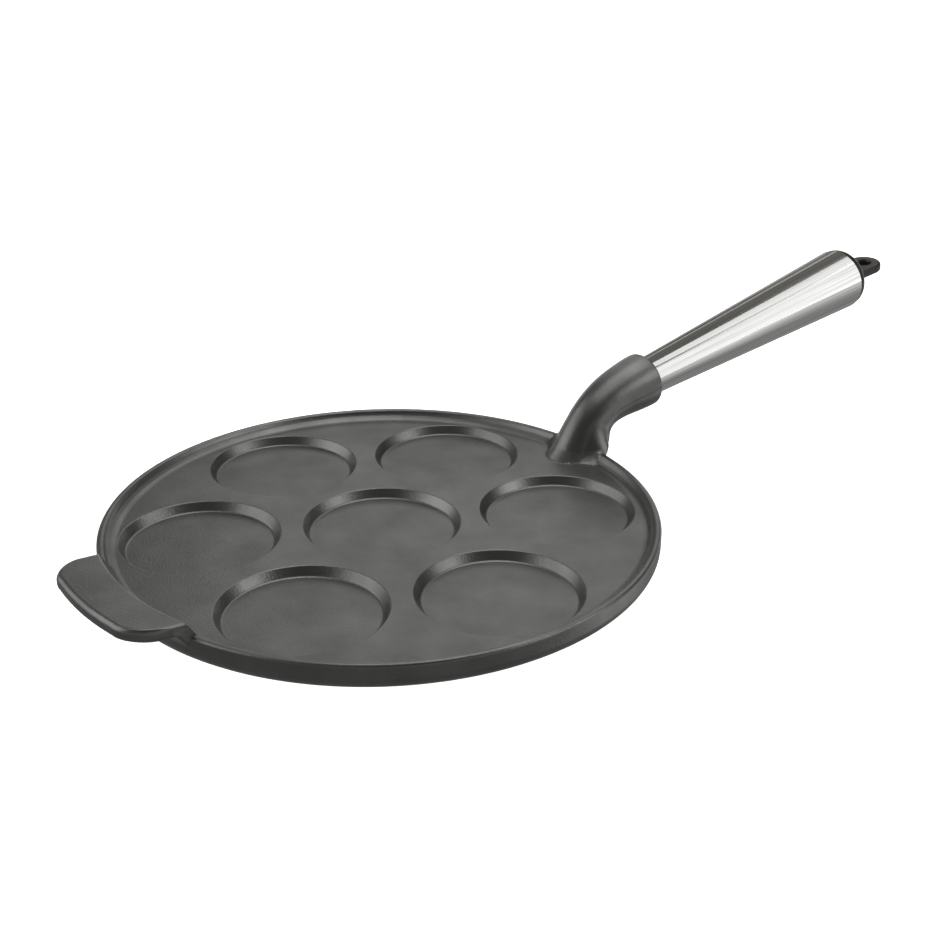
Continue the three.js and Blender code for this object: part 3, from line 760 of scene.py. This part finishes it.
scene = bpy.context.scene
scene.view_settings.view_transform = "Standard"
cove_mesh = bmesh.new()
rounded_chain(cove_mesh, [
    (0, COVE_FLOOR, 0), (COVE_RADIUS, COVE_FLOOR, COVE_BEND), (COVE_RADIUS, COVE_HEIGHT, 0)], segments=24)
spun(cove_mesh, steps=96)
if min(face.normal.z for face in cove_mesh.faces) < 0:
    bmesh.ops.reverse_faces(cove_mesh, faces=cove_mesh.faces)
cove_data = bpy.data.meshes.new("paper_cove")
cove_mesh.to_mesh(cove_data)
cove_mesh.free()
cove_data.shade_smooth()
cove = bpy.data.objects.new("paper_cove", cove_data)
scene.collection.objects.link(cove)
cove.visible_glossy = False
cove.visible_shadow = False
print("cove", 2 * COVE_RADIUS * MM, "m across")

# %% White paper
PAPER_GLOW = 0.95

paper = bpy.data.materials.new("white_paper")
paper.use_nodes = True
tree = paper.node_tree
shader = tree.nodes["Principled BSDF"]
shader.inputs["Base Color"].default_value = hex_to_linear("#f4f4f4")
shader.inputs["Roughness"].default_value = 0.9
shader.inputs["Emission Color"].default_value = hex_to_linear("#ffffff")
shader.inputs["Emission Strength"].default_value = PAPER_GLOW
one_sided = node(tree, "ShaderNodeMixShader", {
    0: node(tree, "ShaderNodeNewGeometry").outputs["Backfacing"], 1: shader.outputs["BSDF"],
    2: node(tree, "ShaderNodeBsdfTransparent").outputs["BSDF"]})
tree.links.new(one_sided.outputs["Shader"], tree.nodes["Material Output"].inputs["Surface"])
paper.cycles.emission_sampling = "NONE"
cove_data.materials.append(paper)
print(paper.name, "with", len(tree.nodes), "nodes")

# %% Grey room
RIGHTWARDS = (0.69, -0.72, 0)

world = bpy.data.worlds.new("grey_room")
scene.world = world
world.use_nodes = True
tree = world.node_tree
ray = node(tree, "ShaderNodeTexCoord").outputs["Generated"]
level = node(tree, "ShaderNodeSeparateXYZ", {"Vector": ray}).outputs["Z"]
to_right = node(tree, "ShaderNodeVectorMath", {0: ray, 1: RIGHTWARDS}, operation="DOT_PRODUCT")
right_floor = node(tree, "ShaderNodeMapRange", {
    "Value": level, "From Min": -0.48, "From Max": 0.05, "To Min": 0.3, "To Max": 1.1})
room_floor = node(tree, "ShaderNodeMapRange", {
    "Value": to_right.outputs["Value"], "From Min": -0.1, "From Max": 0.6, "To Min": 0.33,
    "To Max": right_floor.outputs["Result"]})
room = node(tree, "ShaderNodeMapRange", {
    "Value": level, "From Min": 0.08, "From Max": 0.02, "To Min": 0.13,
    "To Max": room_floor.outputs["Result"]})
tree.nodes["Background"].inputs["Color"].default_value = hex_to_linear("#ffffff")
tree.links.new(room.outputs["Result"], tree.nodes["Background"].inputs["Strength"])
print(world.name, "with", len(tree.nodes), "nodes")

# %% [markdown]
# ## Softboxes
#
# Each softbox is a rectangle with an even brightness, and its power follows from that and its area. The
# steel and the iron have their own softboxes, as if flags kept the others off.
#
# For the handle two stand on the right, side by side round its line, with a narrow gap between them: it
# mirrors them as two white bands with a thin grey line. Behind it stand a dim warm wall for the dark
# band, a narrow strip for the fine light line near the upper edge and a low one for the edge itself. One
# above the handle and a long wall on the left show only from behind, and keep the steel bright there.
#
# For the iron, one behind the pan gives the plate its even grey, one above and one on the right model the
# rounded tops of neck and socket, and one on the left lights the ridge of the neck. A weak one in front
# on the left keeps the pan readable from behind. The last three are light that the white paper throws
# back: a small one on the right and a wide one behind the pan, both at table height, and one from below
# for the wall of the pan and the underside of the socket.

# %% Softboxes for the steel
LAMP_DISTANCE = 1.6
ALONG_HANDLE, AWAY_FROM_HANDLE = 0.695, 0.7185

steel_pieces = bpy.data.collections.new("steel_pieces")
steel_pieces.objects.link(tube)


def softbox(name, lit, toward, across, size, glow, colour="#ffffff"):
    """A lamp for some pieces: its direction, the way its width runs, its size in metres and its glow."""
    data = bpy.data.lights.new(name, "AREA")
    data.shape = "RECTANGLE"
    data.size, data.size_y = size
    data.energy = glow * pi * size[0] * size[1]
    data.color = hex_to_linear(colour)[:3]
    lamp = bpy.data.objects.new(name, data)
    facing = Vector(toward).normalized()
    side = Vector(across)
    side = (side - facing * side.dot(facing)).normalized()
    turn = Matrix((side, facing.cross(side), facing)).transposed().to_4x4()
    lamp.matrix_world = Matrix.Translation(RIM_RADIUS * MM * HANDLE_AXIS + facing * LAMP_DISTANCE) @ turn
    lamp.light_linking.receiver_collection = lit
    scene.collection.objects.link(lamp)
    print(name, round(data.energy, 1), "W")


def mirrored_in_handle(turn):
    """The direction that the handle mirrors to the camera at a turn round its line, and how it moves."""
    up, side = Vector((-sin(SLOPE), 0, cos(SLOPE))), Vector((0, -1, 0))
    outwards = up * cos(radians(turn)) + side * sin(radians(turn))
    onwards = side * cos(radians(turn)) - up * sin(radians(turn))
    return ALONG_HANDLE * HANDLE_AXIS + AWAY_FROM_HANDLE * outwards, onwards


softbox("right_high_softbox", steel_pieces, *mirrored_in_handle(12), size=(0.62, 1.6), glow=1.28)
softbox("right_low_softbox", steel_pieces, *mirrored_in_handle(62.5), size=(1.42, 2.2), glow=1.38)
softbox("back_wall", steel_pieces, *mirrored_in_handle(-42), size=(1.3, 2.2), glow=0.05, colour="#fff6d0")
softbox("back_strip", steel_pieces, *mirrored_in_handle(-57), size=(0.12, 0.9), glow=0.6)
softbox("back_edge", steel_pieces, *mirrored_in_handle(-90), size=(0.35, 2.2), glow=0.3)
softbox("over_handle", steel_pieces, (-0.5, 0, 0.87), (0, 1, 0), size=(1.1, 2), glow=1.3)
softbox("left_wall", steel_pieces, (-0.96, 0.1, 0.25), (0, 1, 0), size=(4, 0.8), glow=1.1)

# %% Softboxes for the iron
iron_pieces = bpy.data.collections.new("iron_pieces")
iron_pieces.objects.link(pan)
iron_pieces.objects.link(knob)
softbox("back_softbox", iron_pieces, (0.54, 0.62, 0.58), (0.78, -0.62, 0), size=(1.2, 0.9), glow=0.98)
softbox("top_softbox", iron_pieces, (0.2, 0.05, 0.98), (1, 0, 0), size=(1.4, 1.4), glow=2.35)
softbox("right_softbox", iron_pieces, (0.5, -0.7, 0.52), (0.81, 0.58, 0), size=(1.1, 0.8), glow=3)
softbox("left_softbox", iron_pieces, (-0.68, 0.57, 0.47), (0.64, 0.77, 0), size=(1.9, 1.3), glow=2.1)
softbox("front_softbox", iron_pieces, (-0.92, -0.35, 0.18), (0.36, -0.93, 0), size=(1.6, 0.5), glow=0.4)
softbox("front_paper", iron_pieces, (0.3, -0.95, 0.05), (0.95, 0.3, 0), size=(0.5, 0.5), glow=1)
softbox("back_paper", iron_pieces, (0.7, 0.7, 0), (0.71, -0.71, 0), size=(2.8, 0.6), glow=1.1)
softbox("paper_bounce", iron_pieces, (0.74, -0.52, -0.42), (0.57, 0.82, 0), size=(1.2, 0.7), glow=0.95)
